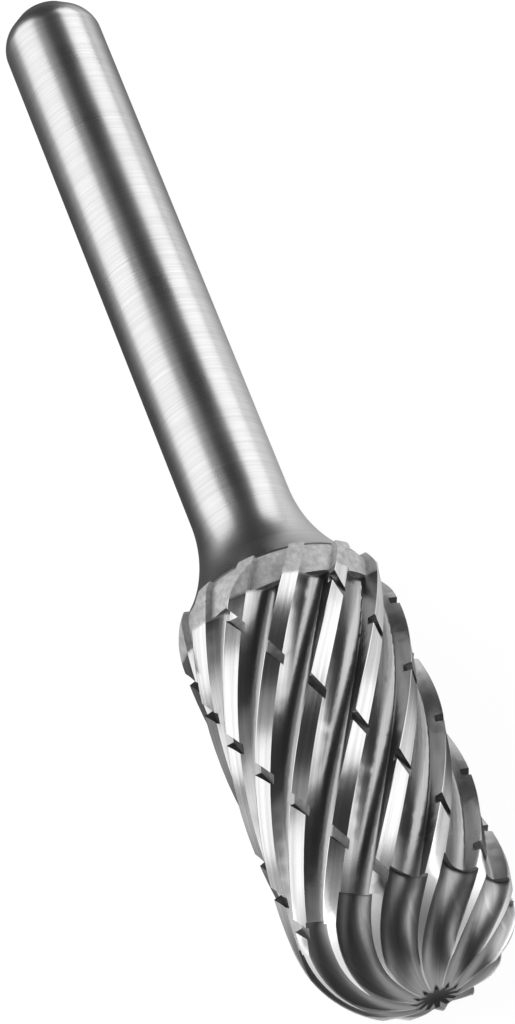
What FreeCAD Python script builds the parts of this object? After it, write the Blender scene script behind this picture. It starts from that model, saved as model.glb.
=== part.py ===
import FreeCAD, Part
import math
import os
import Sketcher
from FreeCAD import Vector

# Carbide burr with a ball nose, lying along X with its tip towards +X.
# The origin is the centre of the shank's end face, and +Z is up. The overall length reaches to the apex
# of the ball, which the tip hollow takes away.

document = FreeCAD.newDocument("CarbideBurr")

# Driving dimensions, in millimetres and degrees

SIZES = {
    "overall_length": 70.0,
    "shank_diameter": 6.0,
    "end_bevel": 1.35,
    "end_shoulder_radius": 2.0,
    "end_rim_radius": 0.25,
    "neck_radius": 9.6,
    "braze_thickness": 0.12,
    "head_diameter": 12.7,
    "head_length": 26.8,
    "seam_inset": 1.05,
    "collar_step": 0.3,
    "collar_length": 1.95,
    "collar_rim_radius": 0.9,
    "rear_taper_length": 2.2,
    "rear_taper_drop": 0.6,
    "flute_count": 12,
    "flute_lead": 66.0,
    "flute_depth": 1.12,
    "flute_floor_radius": 1.18,
    "land_angle": 9.5,
    "land_relief": 0.34,
    "margin_angle": 0.5,
    "rake_span_angle": 8.0,
    "rake_lean_angle": 14.0,
    "rake_foot_radius": 0.25,
    "edge_angle_at_tip": -8.5,
    "breaker_starts": 6,
    "breaker_lead": 76.4,
    "breaker_depth": 0.5,
    "breaker_mouth_width": 0.62,
    "breaker_floor_width": 0.46,
    "breaker_angle_at_tip": 25.5,
    "breaker_rear_gap": 1.0,
    "breaker_nose_gap": 2.5,
    "nose_start_angle": 81.0,
    "nose_end_angle": 10.0,
    "nose_groove_radius": 1.05,
    "nose_start_depth": 1.25,
    "nose_end_depth": 0.3,
    "tip_hollow_diameter": 3.8,
    "tip_hollow_depth": 0.62,
    "cutter_overrun": 0.6,
}

sheet = document.addObject("Spreadsheet::Sheet", "Sizes")
for row, (alias, value) in enumerate(SIZES.items(), start=1):
    sheet.set(f"A{row}", alias)
    sheet.set(f"B{row}", str(value))
    sheet.setAlias(f"B{row}", alias)
document.recompute()

STEEL_LENGTH = "Sizes.overall_length - Sizes.head_length - Sizes.braze_thickness"
AXIS_START = Vector(0, 0, 0)
AXIS = Vector(1, 0, 0)
SEAM_RADIUS = "Sizes.head_diameter / 2 - Sizes.seam_inset"
BALL_PLACE = "Sizes.head_length - Sizes.head_diameter / 2"
HOLLOW_FLOOR = "Sizes.head_length - Sizes.tip_hollow_depth"
REAR_RADIUS = "Sizes.head_diameter / 2 - Sizes.rear_taper_drop"
COLLAR_RADIUS = "Sizes.head_diameter / 2 - Sizes.seam_inset + Sizes.collar_step"
SPIRAL_STEP_ANGLE = 20.0
NOSE_STEP_ANGLE = 10.0
PATH_STEP = 0.01
ORIGIN = -1


def size(alias):
    """The value of one cell of the sheet."""
    return float(sheet.get(alias))


def worked_out(expression):
    """The present value of a formula of the sheet's cells."""
    return float(sheet.evalExpression(expression))


# Sketches of half sections, whose first direction is the burr's axis


def new_body(name):
    body = document.addObject("PartDesign::Body", name)
    body.Label = name
    return body


def sketch_on(body, plane_role, name):
    sketch = body.newObject("Sketcher::SketchObject", name)
    plane = next(part for part in body.Origin.OriginFeatures if part.Role == plane_role)
    sketch.AttachmentSupport = (plane, [""])
    sketch.MapMode = "FlatFace"
    return sketch


def hold(sketch, name, kind, *where, formula):
    """One dimension of a sketch, driven by the sheet."""
    index = sketch.addConstraint(Sketcher.Constraint(kind, *where, worked_out(formula)))
    sketch.renameConstraint(index, name)
    sketch.setExpression(f"Constraints.{name}", formula)


def straight(sketch, start, end, direction=None):
    edge = sketch.addGeometry(Part.LineSegment(Vector(*start, 0), Vector(*end, 0)), False)
    if direction:
        sketch.addConstraint(Sketcher.Constraint(direction, edge))
    return edge


def arc(sketch, start, middle, end):
    return sketch.addGeometry(Part.Arc(Vector(*start, 0), Vector(*middle, 0), Vector(*end, 0)), False)


def join(sketch, edge, end, other_edge, other_end, kind="Coincident"):
    sketch.addConstraint(Sketcher.Constraint(kind, edge, end, other_edge, other_end))


def revolve(body, sketch, name):
    feature = body.newObject("PartDesign::Revolution", name)
    feature.Profile = sketch
    feature.ReferenceAxis = (sketch, ["H_Axis"])
    feature.Angle = 360
    return feature


def rim(feature, along, radius):
    """The name of the round edge at one place along the axis."""
    for number, edge in enumerate(feature.Shape.Edges, start=1):
        if not isinstance(edge.Curve, Part.Circle):
            continue
        if math.isclose(edge.Curve.Radius, radius, abs_tol=1e-4) and math.isclose(
            edge.Curve.Center.x, along, abs_tol=1e-4
        ):
            return f"Edge{number}"
    raise ValueError(f"no round edge of radius {radius} at {along}")


def dress(body, kind, name, base, edge_name, size_name, alias):
    """A chamfer or a fillet on one edge, sized by the sheet."""
    feature = body.newObject(f"PartDesign::{kind}", name)
    feature.Base = (base, [edge_name])
    feature.setExpression(size_name, f"Sizes.{alias}")
    document.recompute()
    return feature


# Steel shank, turned with a neck that flares to the braze seam


def make_shank():
    body = new_body("shank")
    sketch = sketch_on(body, "XZ_Plane", "ShankHalfSection")
    seam = worked_out(STEEL_LENGTH)
    seam_radius = worked_out(SEAM_RADIUS)
    shank_radius = size("shank_diameter") / 2
    flare = size("neck_radius")
    rise = flare + shank_radius - seam_radius
    neck_start = seam - math.sqrt(flare**2 - rise**2)
    half_turn = math.acos(rise / flare) / 2
    neck_middle = (neck_start + flare * math.sin(half_turn), shank_radius + flare * (1 - math.cos(half_turn)))

    axis = straight(sketch, (0, 0), (seam, 0), "Horizontal")
    seam_face = straight(sketch, (seam, 0), (seam, seam_radius), "Vertical")
    neck = arc(sketch, (neck_start, shank_radius), neck_middle, (seam, seam_radius))
    wall = straight(sketch, (neck_start, shank_radius), (0, shank_radius), "Horizontal")
    end_face = straight(sketch, (0, shank_radius), (0, 0), "Vertical")
    join(sketch, axis, 2, seam_face, 1)
    join(sketch, seam_face, 2, neck, 2)
    join(sketch, neck, 1, wall, 1, "Tangent")
    join(sketch, wall, 2, end_face, 1)
    join(sketch, end_face, 2, axis, 1)
    join(sketch, axis, 1, ORIGIN, 1)
    hold(sketch, "SeamPlace", "DistanceX", ORIGIN, 1, axis, 2, formula=STEEL_LENGTH)
    hold(sketch, "SeamRadius", "DistanceY", ORIGIN, 1, neck, 2, formula=SEAM_RADIUS)
    hold(sketch, "WallRadius", "DistanceY", ORIGIN, 1, wall, 2, formula="Sizes.shank_diameter / 2")
    hold(sketch, "NeckRadius", "Radius", neck, formula="Sizes.neck_radius")
    turned = revolve(body, sketch, "TurnedShank")
    document.recompute()

    bevel = size("end_bevel")
    bevelled = dress(body, "Chamfer", "EndBevel", turned, rim(turned, 0, shank_radius), "Size", "end_bevel")
    shoulder = rim(bevelled, bevel, shank_radius)
    eased = dress(body, "Fillet", "EndShoulder", bevelled, shoulder, "Radius", "end_shoulder_radius")
    end_rim = rim(eased, 0, shank_radius - bevel)
    dress(body, "Fillet", "EndRim", eased, end_rim, "Radius", "end_rim_radius")
    return body


# Braze, a thin disc between the shank's face and the head's


def make_braze():
    body = new_body("braze_joint")
    sketch = sketch_on(body, "YZ_Plane", "BrazeOutline")
    outline = sketch.addGeometry(Part.Circle(AXIS_START, Vector(0, 0, 1), worked_out(SEAM_RADIUS)), False)
    join(sketch, outline, 3, ORIGIN, 1)
    hold(sketch, "BrazeRadius", "Radius", outline, formula=SEAM_RADIUS)
    disc = body.newObject("PartDesign::Pad", "BrazeDisc")
    disc.Profile = sketch
    disc.setExpression("Length", "Sizes.braze_thickness")
    body.setExpression("Placement.Base.x", STEEL_LENGTH)
    return body


# Carbide head, ground from a ball-nosed blank. Its own origin is the centre of its rear face.


def make_blank():
    body = new_body("head_blank")
    sketch = sketch_on(body, "XZ_Plane", "BlankHalfSection")
    length = size("head_length")
    radius = size("head_diameter") / 2
    ball = length - radius
    hollow_floor = length - size("tip_hollow_depth")
    hollow_radius = size("tip_hollow_diameter") / 2
    hollow_rim = ball + math.sqrt(radius**2 - hollow_radius**2)
    slope = math.sqrt(0.5)
    taper = size("rear_taper_length")
    drop = size("rear_taper_drop")
    rear_radius = radius - drop
    taper_radius = (taper**2 + drop**2) / (2 * drop)
    half_turn = math.asin(taper / taper_radius) / 2
    taper_middle = (
        taper - taper_radius * math.sin(half_turn),
        radius - taper_radius * (1 - math.cos(half_turn)),
    )

    axis = straight(sketch, (0, 0), (hollow_floor, 0), "Horizontal")
    hollow = straight(sketch, (hollow_floor, 0), (hollow_rim, hollow_radius))
    nose = arc(
        sketch, (hollow_rim, hollow_radius), (ball + radius * slope, radius * slope), (ball, radius)
    )
    wall = straight(sketch, (ball, radius), (taper, radius), "Horizontal")
    rear_taper = arc(sketch, (taper, radius), taper_middle, (0, rear_radius))
    rear_face = straight(sketch, (0, rear_radius), (0, 0), "Vertical")
    join(sketch, axis, 1, ORIGIN, 1)
    join(sketch, axis, 2, hollow, 1)
    join(sketch, hollow, 2, nose, 1)
    join(sketch, nose, 2, wall, 1, "Tangent")
    join(sketch, wall, 2, rear_taper, 1, "Tangent")
    join(sketch, rear_taper, 2, rear_face, 1)
    join(sketch, rear_face, 2, axis, 1)
    sketch.addConstraint(Sketcher.Constraint("PointOnObject", nose, 3, ORIGIN))
    hold(sketch, "BallPlace", "DistanceX", ORIGIN, 1, nose, 3, formula=BALL_PLACE)
    hold(sketch, "HollowFloor", "DistanceX", ORIGIN, 1, axis, 2, formula=HOLLOW_FLOOR)
    hold(sketch, "HollowRadius", "DistanceY", ORIGIN, 1, hollow, 2, formula="Sizes.tip_hollow_diameter / 2")
    hold(sketch, "BallRadius", "Radius", nose, formula="Sizes.head_diameter / 2")
    hold(sketch, "TaperLength", "DistanceX", ORIGIN, 1, wall, 2, formula="Sizes.rear_taper_length")
    hold(sketch, "RearRadius", "DistanceY", ORIGIN, 1, rear_taper, 2, formula=REAR_RADIUS)
    revolve(body, sketch, "BlankTurned")
    return body


def make_collar():
    body = new_body("head_collar")
    sketch = sketch_on(body, "XZ_Plane", "CollarHalfSection")
    length = size("collar_length")
    radius = worked_out(COLLAR_RADIUS)
    seam_radius = worked_out(SEAM_RADIUS)
    rim_radius = size("collar_rim_radius")
    rise = rim_radius - (radius - seam_radius)
    rim_length = math.sqrt(rim_radius**2 - rise**2)
    half_turn = math.acos(rise / rim_radius) / 2
    rim_middle = (
        rim_length - rim_radius * math.sin(half_turn),
        radius - rim_radius * (1 - math.cos(half_turn)),
    )

    axis = straight(sketch, (0, 0), (length, 0), "Horizontal")
    front = straight(sketch, (length, 0), (length, radius), "Vertical")
    wall = straight(sketch, (length, radius), (rim_length, radius), "Horizontal")
    rounded_rim = arc(sketch, (rim_length, radius), rim_middle, (0, seam_radius))
    rear = straight(sketch, (0, seam_radius), (0, 0), "Vertical")
    join(sketch, axis, 1, ORIGIN, 1)
    join(sketch, axis, 2, front, 1)
    join(sketch, front, 2, wall, 1)
    join(sketch, wall, 2, rounded_rim, 1, "Tangent")
    join(sketch, rounded_rim, 2, rear, 1)
    join(sketch, rear, 2, axis, 1)
    hold(sketch, "CollarLength", "DistanceX", ORIGIN, 1, axis, 2, formula="Sizes.collar_length")
    hold(sketch, "CollarRadius", "DistanceY", ORIGIN, 1, front, 2, formula=COLLAR_RADIUS)
    hold(sketch, "CollarSeam", "DistanceY", ORIGIN, 1, rounded_rim, 2, formula=SEAM_RADIUS)
    hold(sketch, "CollarRim", "Radius", rounded_rim, formula="Sizes.collar_rim_radius")
    revolve(body, sketch, "CollarTurned")
    return body


# Spiral cutters. Angles about the axis are measured from +Z towards +Y.


def around(radius, angle, along=0.0):
    turn = math.radians(angle)
    return Vector(along, radius * math.sin(turn), radius * math.cos(turn))


def line(start, end):
    return Part.LineSegment(start, end).toShape()


def turned_about_axis(shape, angle):
    copy = shape.copy()
    copy.rotate(AXIS_START, AXIS, -angle)
    return copy


def spiral(section, length, lead):
    """The section carried along X while it turns once in each lead, right-handed where it is positive."""
    steps = max(2, math.ceil(abs(length / lead) * 360 / SPIRAL_STEP_ANGLE))
    sections = []
    for step in range(steps + 1):
        along = length * step / steps
        placed = turned_about_axis(section, -360 * along / lead)
        placed.translate(AXIS * along)
        sections.append(placed)
    return Part.makeLoft(sections, True, False)


def ring_of(cutter, count, first_angle):
    return Part.makeCompound([turned_about_axis(cutter, first_angle + 360 / count * n) for n in range(count)])


def flank_foot(corner, centre, radius):
    """The point low on the floor's circle where a straight flank from the corner touches it."""
    reach = corner - centre
    spread = math.acos(radius / reach.Length)
    bearing = math.atan2(reach.z, reach.y)
    touches = [
        centre + Vector(0, math.cos(bearing + side), math.sin(bearing + side)) * radius
        for side in (spread, -spread)
    ]
    return min(touches, key=lambda point: point.z)


def flute_section():
    """Heel flank, round floor, the rake's rounded foot and the rake face, open outwards past the head."""
    head_radius = size("head_diameter") / 2
    floor_radius = size("flute_floor_radius")
    foot_radius = size("rake_foot_radius")
    root = head_radius - size("flute_depth")
    rake_span = size("rake_span_angle")
    centre = Vector(0, 0, root + floor_radius)
    edge = around(head_radius, rake_span)
    heel = around(
        head_radius - size("land_relief"), rake_span + size("land_angle") - 360 / size("flute_count")
    )
    heel_foot = flank_foot(heel, centre, floor_radius)
    heel_top = heel + (heel - heel_foot).normalize() * (size("cutter_overrun") + size("land_relief"))

    inward = around(-1, rake_span + size("rake_lean_angle"))
    reach = edge - AXIS.cross(inward) * foot_radius - centre
    rise = -reach.dot(inward)
    rake_length = rise + math.sqrt((floor_radius - foot_radius) ** 2 - reach.dot(reach) + rise**2)
    foot_centre = centre + reach + inward * rake_length
    rake_foot = edge + inward * rake_length
    edge_top = edge - inward * size("cutter_overrun")
    floor_end = centre + (foot_centre - centre).normalize() * floor_radius
    foot_middle = foot_centre + (floor_end + rake_foot - foot_centre * 2).normalize() * foot_radius
    floor = Part.Arc(heel_foot, Vector(0, 0, root), floor_end).toShape()
    foot = Part.Arc(floor_end, foot_middle, rake_foot).toShape()
    heel_flank = line(heel_top, heel_foot)
    return Part.Wire([heel_flank, floor, foot, line(rake_foot, edge_top), line(edge_top, heel_top)])


def relief_section():
    """The wedge over one land, which leaves a narrow margin at full height by its edge and lowers its heel."""
    head_radius = size("head_diameter") / 2
    margin = around(head_radius, size("margin_angle"))
    heel = around(head_radius - size("land_relief"), size("land_angle"))
    slope = (heel - margin).normalize() * (size("cutter_overrun") / 2)
    over_margin = margin - slope
    past_heel = heel + slope
    rise = Vector(0, 0, size("cutter_overrun"))
    corners = [over_margin, past_heel, past_heel + rise, over_margin + rise]
    return Part.makePolygon(corners + corners[:1])


def flute_angle(along):
    """Where the middle of a flute's floor lies about the axis, at one place along the head."""
    return edge_angle(along) - size("rake_span_angle")


def edge_angle(along):
    """Where a cutting edge lies about the axis, at one place along the head."""
    return size("edge_angle_at_tip") + 360 / size("flute_lead") * (size("head_length") - along)


def make_relief_cutters():
    start = -size("cutter_overrun")
    cutter = spiral(relief_section(), size("head_length") - 2 * start, size("flute_lead"))
    cutter.translate(AXIS * start)
    return ring_of(cutter, int(size("flute_count")), edge_angle(start))


def make_flute_cutters():
    """One cutter for each flute, longer than the head at both ends."""
    start = -size("cutter_overrun")
    length = size("head_length") - 2 * start
    cutter = spiral(flute_section(), length, size("flute_lead"))
    cutter.translate(AXIS * start)
    return ring_of(cutter, int(size("flute_count")), flute_angle(start))


def make_lane_cutters():
    """Behind the flutes each lane is opened to the width between two lands, down to the collar."""
    start = -size("cutter_overrun")
    length = size("collar_length") - start
    bottom = worked_out(SEAM_RADIUS)
    top = size("head_diameter") / 2 + size("cutter_overrun")
    edge = size("rake_span_angle")
    heel = edge + size("land_angle") - 360 / size("flute_count")
    floor = Part.Arc(around(bottom, heel), around(bottom, (heel + edge) / 2), around(bottom, edge)).toShape()
    roof = Part.Arc(around(top, edge), around(top, (heel + edge) / 2), around(top, heel)).toShape()
    walls = [line(around(bottom, edge), around(top, edge)), line(around(top, heel), around(bottom, heel))]
    cutter = spiral(Part.Wire([floor, walls[0], roof, walls[1]]), length, size("flute_lead"))
    cutter.translate(AXIS * start)
    return ring_of(cutter, int(size("flute_count")), flute_angle(start))


def make_breaker_cutters():
    """Left-handed spiral notches that break each cutting edge into short teeth."""
    head_radius = size("head_diameter") / 2
    lead = size("breaker_lead")
    slant = math.cos(math.atan(2 * math.pi * head_radius / lead))
    floor = size("breaker_floor_width") / 2 / slant
    mouth = size("breaker_mouth_width") / 2 / slant
    bottom = head_radius - size("breaker_depth")
    widening = (mouth - floor) / size("breaker_depth")
    top = head_radius + size("cutter_overrun")
    top_half = mouth + widening * size("cutter_overrun")
    corners = [
        Vector(0, -floor, bottom),
        Vector(0, floor, bottom),
        Vector(0, top_half, top),
        Vector(0, -top_half, top),
    ]
    section = Part.makePolygon(corners + corners[:1])
    start = size("breaker_rear_gap")
    length = size("head_length") - size("breaker_nose_gap") - start
    cutter = spiral(section, length, -lead)
    cutter.translate(AXIS * start)
    start_angle = size("breaker_angle_at_tip") - 360 / lead * (size("head_length") - start)
    return ring_of(cutter, int(size("breaker_starts")), start_angle)


def on_ball(polar, angle):
    """The way from the ball's centre to a place on the nose: polar angle from the tip, angle about the axis."""
    return Vector(math.cos(math.radians(polar)), 0, 0) + around(math.sin(math.radians(polar)), angle)


def edge_lag(polar):
    """How far a cutting edge has turned at a place on the nose since the tip."""
    ball_radius = size("head_diameter") / 2
    return 360 / size("flute_lead") * ball_radius * (1 - math.cos(math.radians(polar)))


def groove_turn(polar):
    """Where the groove before a cutting edge lies about the axis, counted from that edge's angle at the tip.

    By the flutes it ends at the edge, and nearer the tip it runs midway between two edges.
    """
    radius = size("nose_groove_radius")
    half_width = math.sqrt(radius**2 - (radius - size("flute_depth")) ** 2)
    half_groove = math.degrees(half_width / (size("head_diameter") / 2))
    half_pitch = 180 / size("flute_count")
    side = (half_pitch - half_groove) * math.sin(math.radians(polar)) ** 3 - half_pitch
    return edge_lag(polar) + side


def make_nose_cutters():
    """Grooves that carry the flutes on over the ball, with sharp ridges left between them near the tip.

    Each cutter joins round-bottomed slots set across its path.
    """
    start = size("nose_start_angle")
    travel = size("nose_end_angle") - start
    radius = size("nose_groove_radius")
    ball = Vector(worked_out(BALL_PLACE), 0, 0)
    steps = math.ceil(abs(travel) / NOSE_STEP_ANGLE)
    sections = []
    for step in range(steps + 1):
        share = step / steps
        polar = start + travel * share
        depth = size("nose_start_depth") + (size("nose_end_depth") - size("nose_start_depth")) * share
        outward = on_ball(polar, groove_turn(polar))
        behind = on_ball(polar + PATH_STEP, groove_turn(polar + PATH_STEP))
        across = outward.cross(outward - behind).normalize()
        middle = ball + outward * (size("head_diameter") / 2 - depth + radius)
        one_side = middle + across * radius
        other_side = middle - across * radius
        one_top = one_side + outward * size("cutter_overrun")
        other_top = other_side + outward * size("cutter_overrun")
        floor = Part.Arc(one_side, middle - outward * radius, other_side).toShape()
        walls = [line(other_side, other_top), line(one_top, one_side)]
        sections.append(Part.Wire([floor, walls[0], line(other_top, one_top), walls[1]]))
    cutter = Part.makeLoft(sections, True, False)
    return ring_of(cutter, int(size("flute_count")), size("edge_angle_at_tip"))


def solid_feature(name, shape):
    feature = document.addObject("Part::Feature", name)
    feature.Shape = shape
    return feature


def cut(name, base, tool):
    result = document.addObject("Part::Cut", name)
    result.Base = base
    result.Tool = tool
    document.recompute()
    if result.Shape.Volume >= base.Shape.Volume:
        raise ValueError(f"{name} takes nothing away")
    return result


def make_head():
    blank = make_blank()
    collar = make_collar()
    document.recompute()
    fluted = cut("FlutedHead", blank, solid_feature("FluteCutters", make_flute_cutters()))
    relieved = cut("RelievedHead", fluted, solid_feature("ReliefCutters", make_relief_cutters()))
    notched = cut("NotchedHead", relieved, solid_feature("BreakerCutters", make_breaker_cutters()))
    grooved = cut("GroovedHead", notched, solid_feature("NoseCutters", make_nose_cutters()))
    opened = cut("OpenedHead", grooved, solid_feature("LaneCutters", make_lane_cutters()))
    head = document.addObject("Part::Fuse", "CuttingHead")
    head.Base = opened
    head.Tool = collar
    head.Label = "cutting_head"
    head.setExpression("Placement.Base.x", "Sizes.overall_length - Sizes.head_length")
    return head


parts = [make_shank(), make_braze(), make_head()]
document.recompute()

for item in document.Objects:
    if {"Invalid", "Error"} & set(item.State):
        raise ValueError(f"{item.Name} did not build")

os.makedirs("parts", exist_ok=True)
for part in parts:
    if part.Shape.isNull() or not part.Shape.isValid() or len(part.Shape.Solids) != 1:
        raise ValueError(f"{part.Label} is not one sound solid")
    part.Shape.exportStep(f"parts/{part.Label}.step")
    print(part.Label, round(part.Shape.Volume, 2), part.Shape.BoundBox)
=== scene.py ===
import math

import bmesh
import bpy
from mathutils import Matrix, Vector


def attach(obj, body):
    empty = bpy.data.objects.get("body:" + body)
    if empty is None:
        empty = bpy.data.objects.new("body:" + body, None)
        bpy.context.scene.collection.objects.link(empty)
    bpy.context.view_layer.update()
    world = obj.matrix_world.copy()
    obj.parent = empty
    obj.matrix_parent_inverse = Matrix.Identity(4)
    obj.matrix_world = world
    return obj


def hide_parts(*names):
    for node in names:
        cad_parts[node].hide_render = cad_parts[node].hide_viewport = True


# Carbide burr with a ball nose and a plain steel shank, lying along X, in metres.

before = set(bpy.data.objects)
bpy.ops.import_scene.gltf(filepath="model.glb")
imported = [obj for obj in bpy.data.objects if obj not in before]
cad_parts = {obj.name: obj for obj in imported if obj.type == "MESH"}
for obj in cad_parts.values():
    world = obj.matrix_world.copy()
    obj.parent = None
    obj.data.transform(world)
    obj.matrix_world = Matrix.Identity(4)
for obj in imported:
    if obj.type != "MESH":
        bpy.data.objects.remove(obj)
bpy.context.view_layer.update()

MM = 0.001
ALONG = Vector((1, 0, 0))
MERGE_DISTANCE = 1e-7
RING_PLAY = 1e-6

# Shank and neck

SHANK_RADIUS = 3 * MM
END_BEVEL = 1.35 * MM
BEVEL_ROUNDING = 0.75 * MM
RIM_ROUNDING = 0.1 * MM
NECK_RADIUS = 9.6 * MM
SEAM_RADIUS = 5.3 * MM
SEAM_PLACE = 43.08 * MM
NECK_STEPS = 24
ROUND_STEPS = 144

# Head

HEAD_RADIUS = 6.35 * MM
BALL_CENTRE = 63.65 * MM
FLUTES = 12
FLUTE_LEAD = 66 * MM
NOTCH_LEAD = 76.4 * MM
NOTCH_HAND = -1
NOTCH_FLOOR_RADIUS = 5.85 * MM
NOTCH_FLOOR_PLAY = 0.03 * MM
NOTCHES_FROM = 46 * MM
NOTCHES_TO = 62 * MM
GROOVE_ENDS_FROM = 61.5 * MM
GROOVE_ENDS_TO = 65.5 * MM

# How near a face has to be to a direction, as the cosine of the angle between them.
NOTCH_FLOOR_MATCH = 0.97
NOTCH_WALL_MATCH = 0.85
GROOVE_END_MATCH = 0.8

# The head's materials, in the order of its slots.
GROUND, NOTCH, GROOVE_END = range(3)

# A crest between two nose grooves lies where its angle, times the number of flutes, is the phase,
# plus the lean times its distance from the axis, plus the curl times that distance squared.
RIDGE_PHASE = -1.68
RIDGE_LEAN = -137
RIDGE_CURL = 159000

# A wave over the nose is 1 on each crest. These are its values where the painted highlight line starts and is
# full.
CREST_HIGHLIGHT_LINE = (0.955, 0.985)

# Where a tone starts and where it is full, out from the ball's centre: painted shade on the deep flute floors
# and in the nose grooves, and a painted highlight on the land tops.
DEEP_FLOOR = (6.0 * MM, 5.3 * MM)
GROOVE_FLOOR = (6.3 * MM, 6.1 * MM)
LAND_TOP = (6.22 * MM, 6.32 * MM)

# The same, out from the axis: the painted dark star of shade in the tip's hollow, and the painted highlight
# line on the crests.
SHADE_STAR_RIM = (1.35 * MM, 1.0 * MM)
SHADE_STAR_POINT = 0.35 * MM
CREST_INSIDE = (1.2 * MM, 1.5 * MM)
CREST_OUTSIDE = (5.0 * MM, 4.5 * MM)

# The same, along the burr.
COLLAR_EDGE = (45.3 * MM, 45.1 * MM)
SHADE_STAR_DEPTH = (60 * MM, 68 * MM)
GROOVE_START = (62.2 * MM, 64.5 * MM)
LAND_END = (62.6 * MM, 64.2 * MM)
CREST_START = (64.2 * MM, 64.8 * MM)

# Shares of a tone, and of the extra roughness that goes with it. The tones are painted shade, darkest in the
# tip's hollow, and a painted highlight on the crests.
DEEP_SHADE_SHARE = 0.45
GROOVE_SHADE_SHARE = 0.34
GROOVE_SATIN = 0.7
SATIN_ROUGHNESS = 0.25
CREST_HIGHLIGHT_GREY = 0.85
PAINTED_SHADE_GREY = 0.015

# Marks left by the grinding wheel: their depth, and how closely they follow each other round the burr
# and along it.
MARK_DEPTH = 0.01 * MM
MARKS_AROUND = 26
MARKS_ALONG = 70

# The floor, with the glow that the burr mirrors, from one side of the axis to the other. That mirrored glow
# is a painted reflection, dim beside the burr as a painted shadow.
FLOOR_GAP = 0.05 * MM
FLOOR_HEIGHT = -HEAD_RADIUS - FLOOR_GAP
FLOOR_HALF_SIDE = 3.0
FLOOR_GREY = 0.12
GLOW_ACROSS = (-30 * MM, 30 * MM)
GLOW_BY_SHANK = (
    (0.0, 0.25), (0.2, 0.04), (0.45, 0.01), (0.55, 0.03),
    (0.66, 0.2), (0.73, 0.5), (0.89, 0.95), (1.0, 1.0),
)
GLOW_BY_HEAD = (
    (0.0, 0.7), (0.2, 0.5), (0.33, 0.1), (0.42, 0.0), (0.6, 0.0),
    (0.68, 0.03), (0.75, 0.3), (0.84, 0.7), (1.0, 0.9),
)
GLOW_PAST_NOSE = 0.8
GLOW_STARTS = (-70 * MM, -20 * MM)
GLOW_WIDENS = (2 * MM, 26 * MM)
GLOW_WIDENING = 0.1
GLOW_MEETS_HEAD = (42 * MM, 50 * MM)
GLOW_PASSES_NOSE = (64 * MM, 80 * MM)
MIRRORED_GLOW = 1.4
SEEN_GLOW = 0.94
WORLD_GLOW = 0.055

# The camera, high beyond the nose, with a long lens.
CAMERA_PLACE = Vector((0.17507, -0.00059, 0.24532))
CAMERA_RIGHT = Vector((0.32645, 0.92835, -0.17765))
CAMERA_DOWN = Vector((0.80884, -0.37163, -0.45569))
CAMERA_FORWARD = Vector((-0.48907, 0.00507, -0.87223))
LENS = 173.07
SENSOR_WIDTH = 36


# Material nodes


def new_material(name):
    material = bpy.data.materials.new(name)
    material.use_nodes = True
    return material, material.node_tree, material.node_tree.nodes["Principled BSDF"]


def fill(tree, node, inputs):
    """Link each input to another node's output, or set it to a constant."""
    for socket, value in inputs.items():
        if hasattr(value, "links"):
            tree.links.new(value, node.inputs[socket])
        else:
            node.inputs[socket].default_value = value


def put(tree, kind, inputs, **settings):
    node = tree.nodes.new(kind)
    for key, value in settings.items():
        setattr(node, key, value)
    fill(tree, node, inputs)
    return node


def arithmetic(tree, operation, first, *others):
    """A sum, a product or the like of several values, or a function of one."""
    for other in others or (0.0,):
        first = put(tree, "ShaderNodeMath", {0: first, 1: other}, operation=operation).outputs[0]
    return first


def product(tree, *values):
    return arithmetic(tree, "MULTIPLY", *values)


def total(tree, *values):
    return arithmetic(tree, "ADD", *values)


def largest(tree, *values):
    return arithmetic(tree, "MAXIMUM", *values)


def vector_arithmetic(tree, operation, first, second=(0, 0, 0)):
    node = put(tree, "ShaderNodeVectorMath", {0: first, 1: second}, operation=operation)
    return node.outputs["Value" if operation == "LENGTH" else "Vector"]


def grey(level):
    return level, level, level, 1.0


def shades(tree, factor, *stops):
    """A ramp of greys. Each stop is a place from 0 to 1 and its grey."""
    ramp = put(tree, "ShaderNodeValToRGB", {"Fac": factor})
    elements = ramp.color_ramp.elements
    while len(elements) < len(stops):
        elements.new(1.0)
    for element, (place, level) in zip(elements, stops):
        element.position = place
        element.color = grey(level)
    return ramp.outputs["Color"]


def spread(tree, value, low, high):
    """A value from 0 to 1 laid out between two others."""
    node = put(tree, "ShaderNodeMapRange", {"Value": value, "To Min": low, "To Max": high})
    return node.outputs["Result"]


def between(tree, value, start, full):
    """0 before the start, and 1 from where it is full."""
    node = put(tree, "ShaderNodeMapRange", {"Value": value, "From Min": start, "From Max": full})
    return node.outputs["Result"]


def blended(tree, share, first, second):
    return put(tree, "ShaderNodeMix", {"Factor": share, 6: first, 7: second}, data_type="RGBA").outputs[2]


def object_place(tree):
    """A point's place on its object, and its parts along X, Y and Z."""
    place = tree.nodes.new("ShaderNodeTexCoord").outputs["Object"]
    parts = put(tree, "ShaderNodeSeparateXYZ", {"Vector": place}).outputs
    return place, parts["X"], parts["Y"], parts["Z"]


def grain(tree, vector, detail):
    looks = {"Vector": vector, "Scale": 1.0, "Detail": detail, "Roughness": 0.6}
    return put(tree, "ShaderNodeTexNoise", looks).outputs["Fac"]


def specks(tree, along, across, detail):
    """Grain with so many specks in a metre along the burr and across it."""
    place = tree.nodes.new("ShaderNodeTexCoord").outputs["Object"]
    scaled = put(tree, "ShaderNodeMapping", {"Vector": place, "Scale": (along, across, across)}).outputs[0]
    return grain(tree, scaled, detail)


def marked(tree, shader, height, strength):
    """A shallow bump from the marks of grinding."""
    bump = put(tree, "ShaderNodeBump", {"Height": height, "Strength": strength, "Distance": MARK_DEPTH})
    tree.links.new(bump.outputs["Normal"], shader.inputs["Normal"])


# Materials


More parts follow.
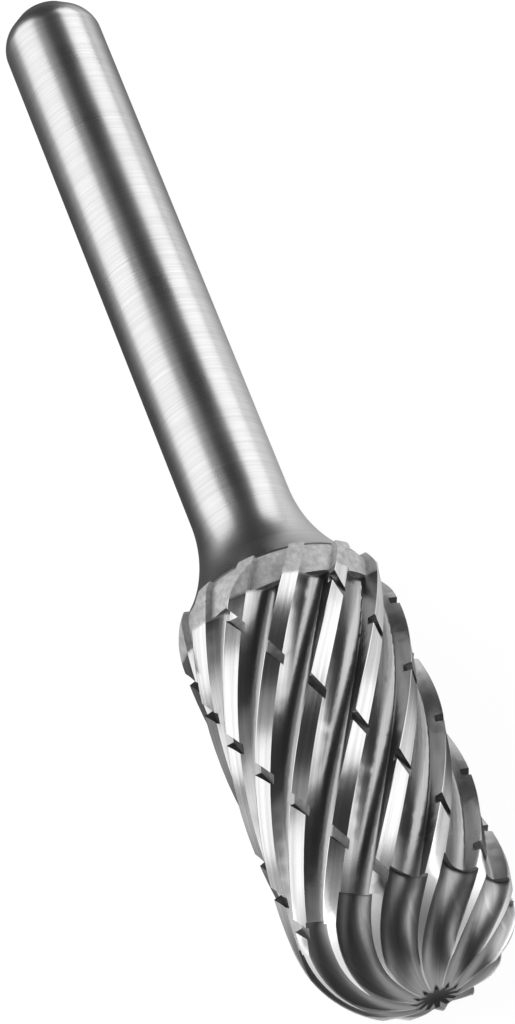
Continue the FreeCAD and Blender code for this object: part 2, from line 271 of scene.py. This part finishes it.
def ground_steel():
    """Centreless-ground steel, with fine marks round the shank."""
    material, tree, shader = new_material("shank_ground_steel")
    marks = specks(tree, along=9000, across=120, detail=4.0)
    cloud = specks(tree, along=260, across=420, detail=2.0)
    fill(tree, shader, {
        "Base Color": shades(tree, marks, (0.25, 0.34), (0.75, 0.45)),
        "Roughness": spread(tree, cloud, low=0.22, high=0.36),
        "Metallic": 1.0,
    })
    marked(tree, shader, marks, strength=0.35)
    return material


def clouded_metal(name, fineness, detail, darkest, palest, metallic, roughness):
    """An unpolished metal with small lighter and darker patches."""
    material, tree, shader = new_material(name)
    cloud = specks(tree, along=fineness, across=fineness, detail=detail)
    fill(tree, shader, {
        "Base Color": shades(tree, cloud, (0.3, darkest), (0.7, palest)),
        "Metallic": metallic,
        "Roughness": roughness,
    })
    return material


def dull_braze():
    return clouded_metal(
        "braze_alloy_dull", fineness=1500, detail=3.0,
        darkest=0.06, palest=0.12, metallic=0.6, roughness=0.5,
    )


def notch_carbide():
    """A dark grey for the chip breakers' floors and their walls that look back to the shank."""
    return clouded_metal(
        "head_notch_carbide", fineness=1800, detail=4.0,
        darkest=0.06, palest=0.14, metallic=0.9, roughness=0.4,
    )


def groove_end_highlight():
    """The walls where the nose grooves start, painted pale and satin: a painted highlight."""
    return clouded_metal(
        "head_groove_end_painted_highlight", fineness=1800, detail=4.0,
        darkest=0.62, palest=0.8, metallic=0.3, roughness=0.5,
    )


def off_the_axis(tree, place, along):
    """A point's place out from the axis, turned back by the flutes' spiral, so that a flute stays in line."""
    turn = product(tree, along, -2 * math.pi / FLUTE_LEAD)
    untwisted = put(tree, "ShaderNodeVectorRotate", {"Vector": place, "Angle": turn}, rotation_type="X_AXIS")
    return vector_arithmetic(tree, "MULTIPLY", untwisted.outputs[0], (0, 1, 1))


def flute_marks(tree, aside, along):
    """Fine marks that follow the flutes and the nose grooves."""
    bearing = vector_arithmetic(tree, "NORMALIZE", aside)
    strands = vector_arithmetic(tree, "MULTIPLY", bearing, (0, MARKS_AROUND, MARKS_AROUND))
    drift = put(tree, "ShaderNodeCombineXYZ", {"X": product(tree, along, MARKS_ALONG)}).outputs[0]
    return grain(tree, vector_arithmetic(tree, "ADD", strands, drift), detail=4.0)


def out_from_ball(tree, along, side, rise):
    """The distance from the ball's centre, or from the axis behind it."""
    ahead = largest(tree, arithmetic(tree, "SUBTRACT", along, BALL_CENTRE), 0)
    from_ball = put(tree, "ShaderNodeCombineXYZ", {"X": ahead, "Y": side, "Z": rise}).outputs[0]
    return vector_arithmetic(tree, "LENGTH", from_ball)


def nose_wave(tree, out, side, rise):
    """1 on a crest between two nose grooves, and -1 in the middle of a groove."""
    swing = product(tree, arithmetic(tree, "ARCTAN2", side, rise), FLUTES)
    lean = product(tree, out, RIDGE_LEAN)
    curl = product(tree, out, out, RIDGE_CURL)
    ridge = total(tree, lean, curl, RIDGE_PHASE)
    return arithmetic(tree, "COSINE", arithmetic(tree, "SUBTRACT", swing, ridge))


def bright_carbide():
    """Ground carbide: a painted highlight on the crests, painted shade in the grooves and deep flute floors,
    a painted dark star of shade in the tip's hollow, and a raw speckled collar.
    """
    material, tree, shader = new_material("head_bright_carbide")
    place, along, side, rise = object_place(tree)
    aside = off_the_axis(tree, place, along)
    out = vector_arithmetic(tree, "LENGTH", aside)
    marks = flute_marks(tree, aside, along)
    metal = shades(tree, marks, (0.3, 0.34), (0.7, 0.49))
    reach = out_from_ball(tree, along, side, rise)
    wave = nose_wave(tree, out, side, rise)

    # Painted highlight: the land tops near the nose and a thin line along each crest are painted pale.
    land_highlight = product(tree, between(tree, reach, *LAND_TOP), between(tree, along, *LAND_END))
    inner = product(tree, between(tree, out, *CREST_INSIDE), between(tree, out, *CREST_OUTSIDE))
    line = product(tree, between(tree, wave, *CREST_HIGHLIGHT_LINE), inner, between(tree, along, *CREST_START))
    crest = largest(tree, land_highlight, line)
    highlighted = blended(tree, crest, metal, grey(CREST_HIGHLIGHT_GREY))

    # Painted shade: the nose grooves, the deep flute floors and a star in the tip's hollow are painted dark.
    groove = product(tree, between(tree, reach, *GROOVE_FLOOR), between(tree, along, *GROOVE_START))
    groove_shade = product(tree, groove, GROOVE_SHADE_SHARE)
    deep_shade = product(tree, between(tree, reach, *DEEP_FLOOR), DEEP_SHADE_SHARE)
    pointed = total(tree, out, product(tree, wave, SHADE_STAR_POINT))
    star = product(tree, between(tree, pointed, *SHADE_STAR_RIM), between(tree, along, *SHADE_STAR_DEPTH))
    painted_shade = largest(tree, groove_shade, deep_shade, star)
    shaded = blended(tree, painted_shade, highlighted, grey(PAINTED_SHADE_GREY))

    collar = between(tree, along, *COLLAR_EDGE)
    speckle = shades(tree, specks(tree, along=2600, across=2600, detail=5.0), (0.35, 0.38), (0.65, 0.58))
    satin = largest(tree, product(tree, groove, GROOVE_SATIN), crest, collar)
    cloud = specks(tree, along=500, across=500, detail=2.0)
    smooth = spread(tree, cloud, low=0.22, high=0.27)
    fill(tree, shader, {
        "Base Color": blended(tree, collar, shaded, speckle),
        "Metallic": spread(tree, collar, low=1.0, high=0.2),
        "Roughness": total(tree, smooth, product(tree, satin, SATIN_ROUGHNESS)),
    })
    marked(tree, shader, marks, strength=0.25)
    return material


# Pieces


def finish_piece(name, shape, materials, node, smooth_angle):
    """The finished mesh, riding on the burr's one body in place of its CAD node."""
    mesh = bpy.data.meshes.new(name)
    shape.to_mesh(mesh)
    shape.free()
    if "custom_normal" in mesh.attributes:
        mesh.attributes.remove(mesh.attributes["custom_normal"])
    mesh.shade_smooth()
    mesh.set_sharp_from_angle(angle=math.radians(smooth_angle))
    for material in materials:
        mesh.materials.append(material)
    piece = bpy.data.objects.new(name, mesh)
    bpy.context.scene.collection.objects.link(piece)
    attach(piece, "root")
    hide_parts(node)


def ring_at(shape, along, radius):
    """The edges of one round line of the turned shank."""
    return [
        edge for edge in shape.edges
        if all(
            abs(vert.co.x - along) < MERGE_DISTANCE
            and abs(math.hypot(vert.co.y, vert.co.z) - radius) < RING_PLAY
            for vert in edge.verts
        )
    ]


def round_over(shape, edges, offset, segments):
    bmesh.ops.bevel(
        shape, geom=edges, offset=offset, offset_type="OFFSET", segments=segments,
        profile=0.5, affect="EDGES", clamp_overlap=True, material=-1,
    )


def turned_shank():
    """The half section, spun about the axis. The neck's arc is a point spun about the flare's centre."""
    shape = bmesh.new()
    rise = NECK_RADIUS + SHANK_RADIUS - SEAM_RADIUS
    neck_start = SEAM_PLACE - math.sqrt(NECK_RADIUS**2 - rise**2)
    neck_turn = math.acos(rise / NECK_RADIUS)
    corners = [(0, 0), (0, SHANK_RADIUS - END_BEVEL), (END_BEVEL, SHANK_RADIUS), (neck_start, SHANK_RADIUS)]
    points = [shape.verts.new((along, 0, radius)) for along, radius in corners]
    for first, second in zip(points, points[1:]):
        shape.edges.new((first, second))
    bmesh.ops.spin(
        shape, geom=[points[-1]], cent=(neck_start, 0, NECK_RADIUS + SHANK_RADIUS), axis=(0, 1, 0),
        angle=-neck_turn, steps=NECK_STEPS, use_merge=False,
    )
    seam = max(shape.verts, key=lambda vert: vert.co.x)
    seam_middle = shape.verts.new((seam.co.x, 0, 0))
    shape.edges.new((seam, seam_middle))
    bmesh.ops.spin(
        shape, geom=shape.verts[:] + shape.edges[:], cent=(0, 0, 0), axis=ALONG,
        angle=2 * math.pi, steps=ROUND_STEPS, use_merge=True,
    )
    bmesh.ops.remove_doubles(shape, verts=shape.verts, dist=MERGE_DISTANCE)
    bmesh.ops.recalc_face_normals(shape, faces=shape.faces)
    round_over(shape, ring_at(shape, END_BEVEL, SHANK_RADIUS), BEVEL_ROUNDING, segments=8)
    round_over(shape, ring_at(shape, 0, SHANK_RADIUS - END_BEVEL), RIM_ROUNDING, segments=4)
    return shape


def ground_head():
    """The head's own surface, with its loose triangles joined and each face given its material."""
    shape = bmesh.new()
    shape.from_mesh(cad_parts["cutting_head"].data)
    bmesh.ops.remove_doubles(shape, verts=shape.verts, dist=MERGE_DISTANCE)
    for face in shape.faces:
        if ends_groove(face):
            face.material_index = GROOVE_END
        elif in_notch(face):
            face.material_index = NOTCH
        else:
            face.material_index = GROUND
    return shape


def ends_groove(face):
    """True for the wall at the rear of a nose groove, which looks ahead."""
    place = face.calc_center_median().x
    return GROOVE_ENDS_FROM < place < GROOVE_ENDS_TO and face.normal.x > GROOVE_END_MATCH


def in_notch(face):
    """True for a notch's floor, and for its wall that looks back to the shank."""
    middle = face.calc_center_median()
    outward = Vector((0, middle.y, middle.z))
    reach = outward.length
    if reach < NOTCH_FLOOR_RADIUS - NOTCH_FLOOR_PLAY or not NOTCHES_FROM <= middle.x <= NOTCHES_TO:
        return False
    outward.normalize()
    if face.normal.dot(outward) > NOTCH_FLOOR_MATCH:
        return reach < NOTCH_FLOOR_RADIUS + NOTCH_FLOOR_PLAY
    around = ALONG.cross(outward)
    slope = 2 * math.pi * reach / NOTCH_LEAD
    wall = (ALONG * slope - around * NOTCH_HAND).normalized()
    return face.normal.dot(wall) < -NOTCH_WALL_MATCH


finish_piece(
    "shank_turned", turned_shank(), [ground_steel()],
    node="shank", smooth_angle=30,
)
finish_piece(
    "head_ground", ground_head(), [bright_carbide(), notch_carbide(), groove_end_highlight()],
    node="cutting_head", smooth_angle=22,
)
braze_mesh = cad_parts["braze_joint"].data
braze_mesh.materials[0] = dull_braze()


# Studio


def seen_directly(tree, rays):
    return largest(tree, rays["Is Camera Ray"], rays["Is Transmission Ray"])


def floor_glow(tree):
    """An even pale floor to the eye, and an uneven one in the metal's reflections: a painted reflection, dim
    beside the burr as a painted shadow.
    """
    along, side = object_place(tree)[1:3]
    across = between(tree, side, *GLOW_ACROSS)
    widening = spread(tree, between(tree, along, *GLOW_WIDENS), low=0.0, high=GLOW_WIDENING)
    by_shank = shades(tree, total(tree, across, widening), *GLOW_BY_SHANK)
    by_head = shades(tree, across, *GLOW_BY_HEAD)
    by_burr = blended(tree, between(tree, along, *GLOW_MEETS_HEAD), by_shank, by_head)
    mirrored = blended(tree, between(tree, along, *GLOW_PASSES_NOSE), by_burr, grey(GLOW_PAST_NOSE))
    beside = product(tree, between(tree, along, *GLOW_STARTS), MIRRORED_GLOW)
    rays = tree.nodes.new("ShaderNodeLightPath").outputs
    glossy = product(tree, mirrored, beside, rays["Is Glossy Ray"])
    return total(tree, product(tree, seen_directly(tree, rays), SEEN_GLOW), glossy)


def make_floor():
    mesh = bpy.data.meshes.new("studio_floor")
    sheet = bmesh.new()
    bmesh.ops.create_grid(sheet, x_segments=1, y_segments=1, size=FLOOR_HALF_SIDE)
    bmesh.ops.translate(sheet, vec=(0, 0, FLOOR_HEIGHT), verts=sheet.verts)
    sheet.to_mesh(mesh)
    sheet.free()
    floor = bpy.data.objects.new("studio_floor", mesh)
    bpy.context.scene.collection.objects.link(floor)
    material, tree, shader = new_material("floor_pale")
    fill(tree, shader, {
        "Base Color": grey(FLOOR_GREY),
        "Roughness": 1.0,
        "Specular IOR Level": 0.0,
        "Emission Color": grey(1.0),
        "Emission Strength": floor_glow(tree),
    })
    mesh.materials.append(material)


def make_world():
    """White behind the burr, and nearly dark in its reflections."""
    world = bpy.data.worlds.new("studio")
    world.use_nodes = True
    tree = world.node_tree
    rays = tree.nodes.new("ShaderNodeLightPath").outputs
    strength = spread(tree, seen_directly(tree, rays), low=WORLD_GLOW, high=1.0)
    fill(tree, tree.nodes["Background"], {"Color": grey(1.0), "Strength": strength})
    bpy.context.scene.world = world


def softbox(name, around_angle, distance, middle, length, height, power):
    """A soft lamp beside the burr, at an angle from straight up towards +Y."""
    lamp = bpy.data.lights.new(name, "AREA")
    lamp.shape = "RECTANGLE"
    lamp.size = length
    lamp.size_y = height
    lamp.energy = power
    turn = math.radians(around_angle)
    place = Vector((middle, distance * math.sin(turn), distance * math.cos(turn)))
    holder = bpy.data.objects.new(name, lamp)
    holder.location = place
    back = Vector((0, place.y, place.z)).normalized()
    holder.rotation_euler = Matrix((ALONG, back.cross(ALONG), back)).transposed().to_euler()
    bpy.context.scene.collection.objects.link(holder)


def make_camera():
    """A view from above and beyond the nose, back along the shank."""
    camera = bpy.data.cameras.new("camera")
    camera.lens = LENS
    camera.sensor_width = SENSOR_WIDTH
    camera.clip_start = 0.01
    camera.clip_end = 10
    holder = bpy.data.objects.new("camera", camera)
    view = Matrix((CAMERA_RIGHT, -CAMERA_DOWN, -CAMERA_FORWARD)).transposed().to_4x4()
    view.translation = CAMERA_PLACE
    holder.matrix_world = view
    bpy.context.scene.collection.objects.link(holder)
    bpy.context.scene.camera = holder


make_floor()
make_world()
softbox("lamp_left", around_angle=-59, distance=0.36, middle=-0.25, length=0.8, height=0.44, power=2.5)
softbox("lamp_right", around_angle=68, distance=0.36, middle=-0.25, length=0.8, height=0.34, power=2.06)
softbox("lamp_top", around_angle=-17, distance=0.4, middle=-0.14, length=0.62, height=0.17, power=0.16)
make_camera()
bpy.context.scene.view_settings.view_transform = "Standard"
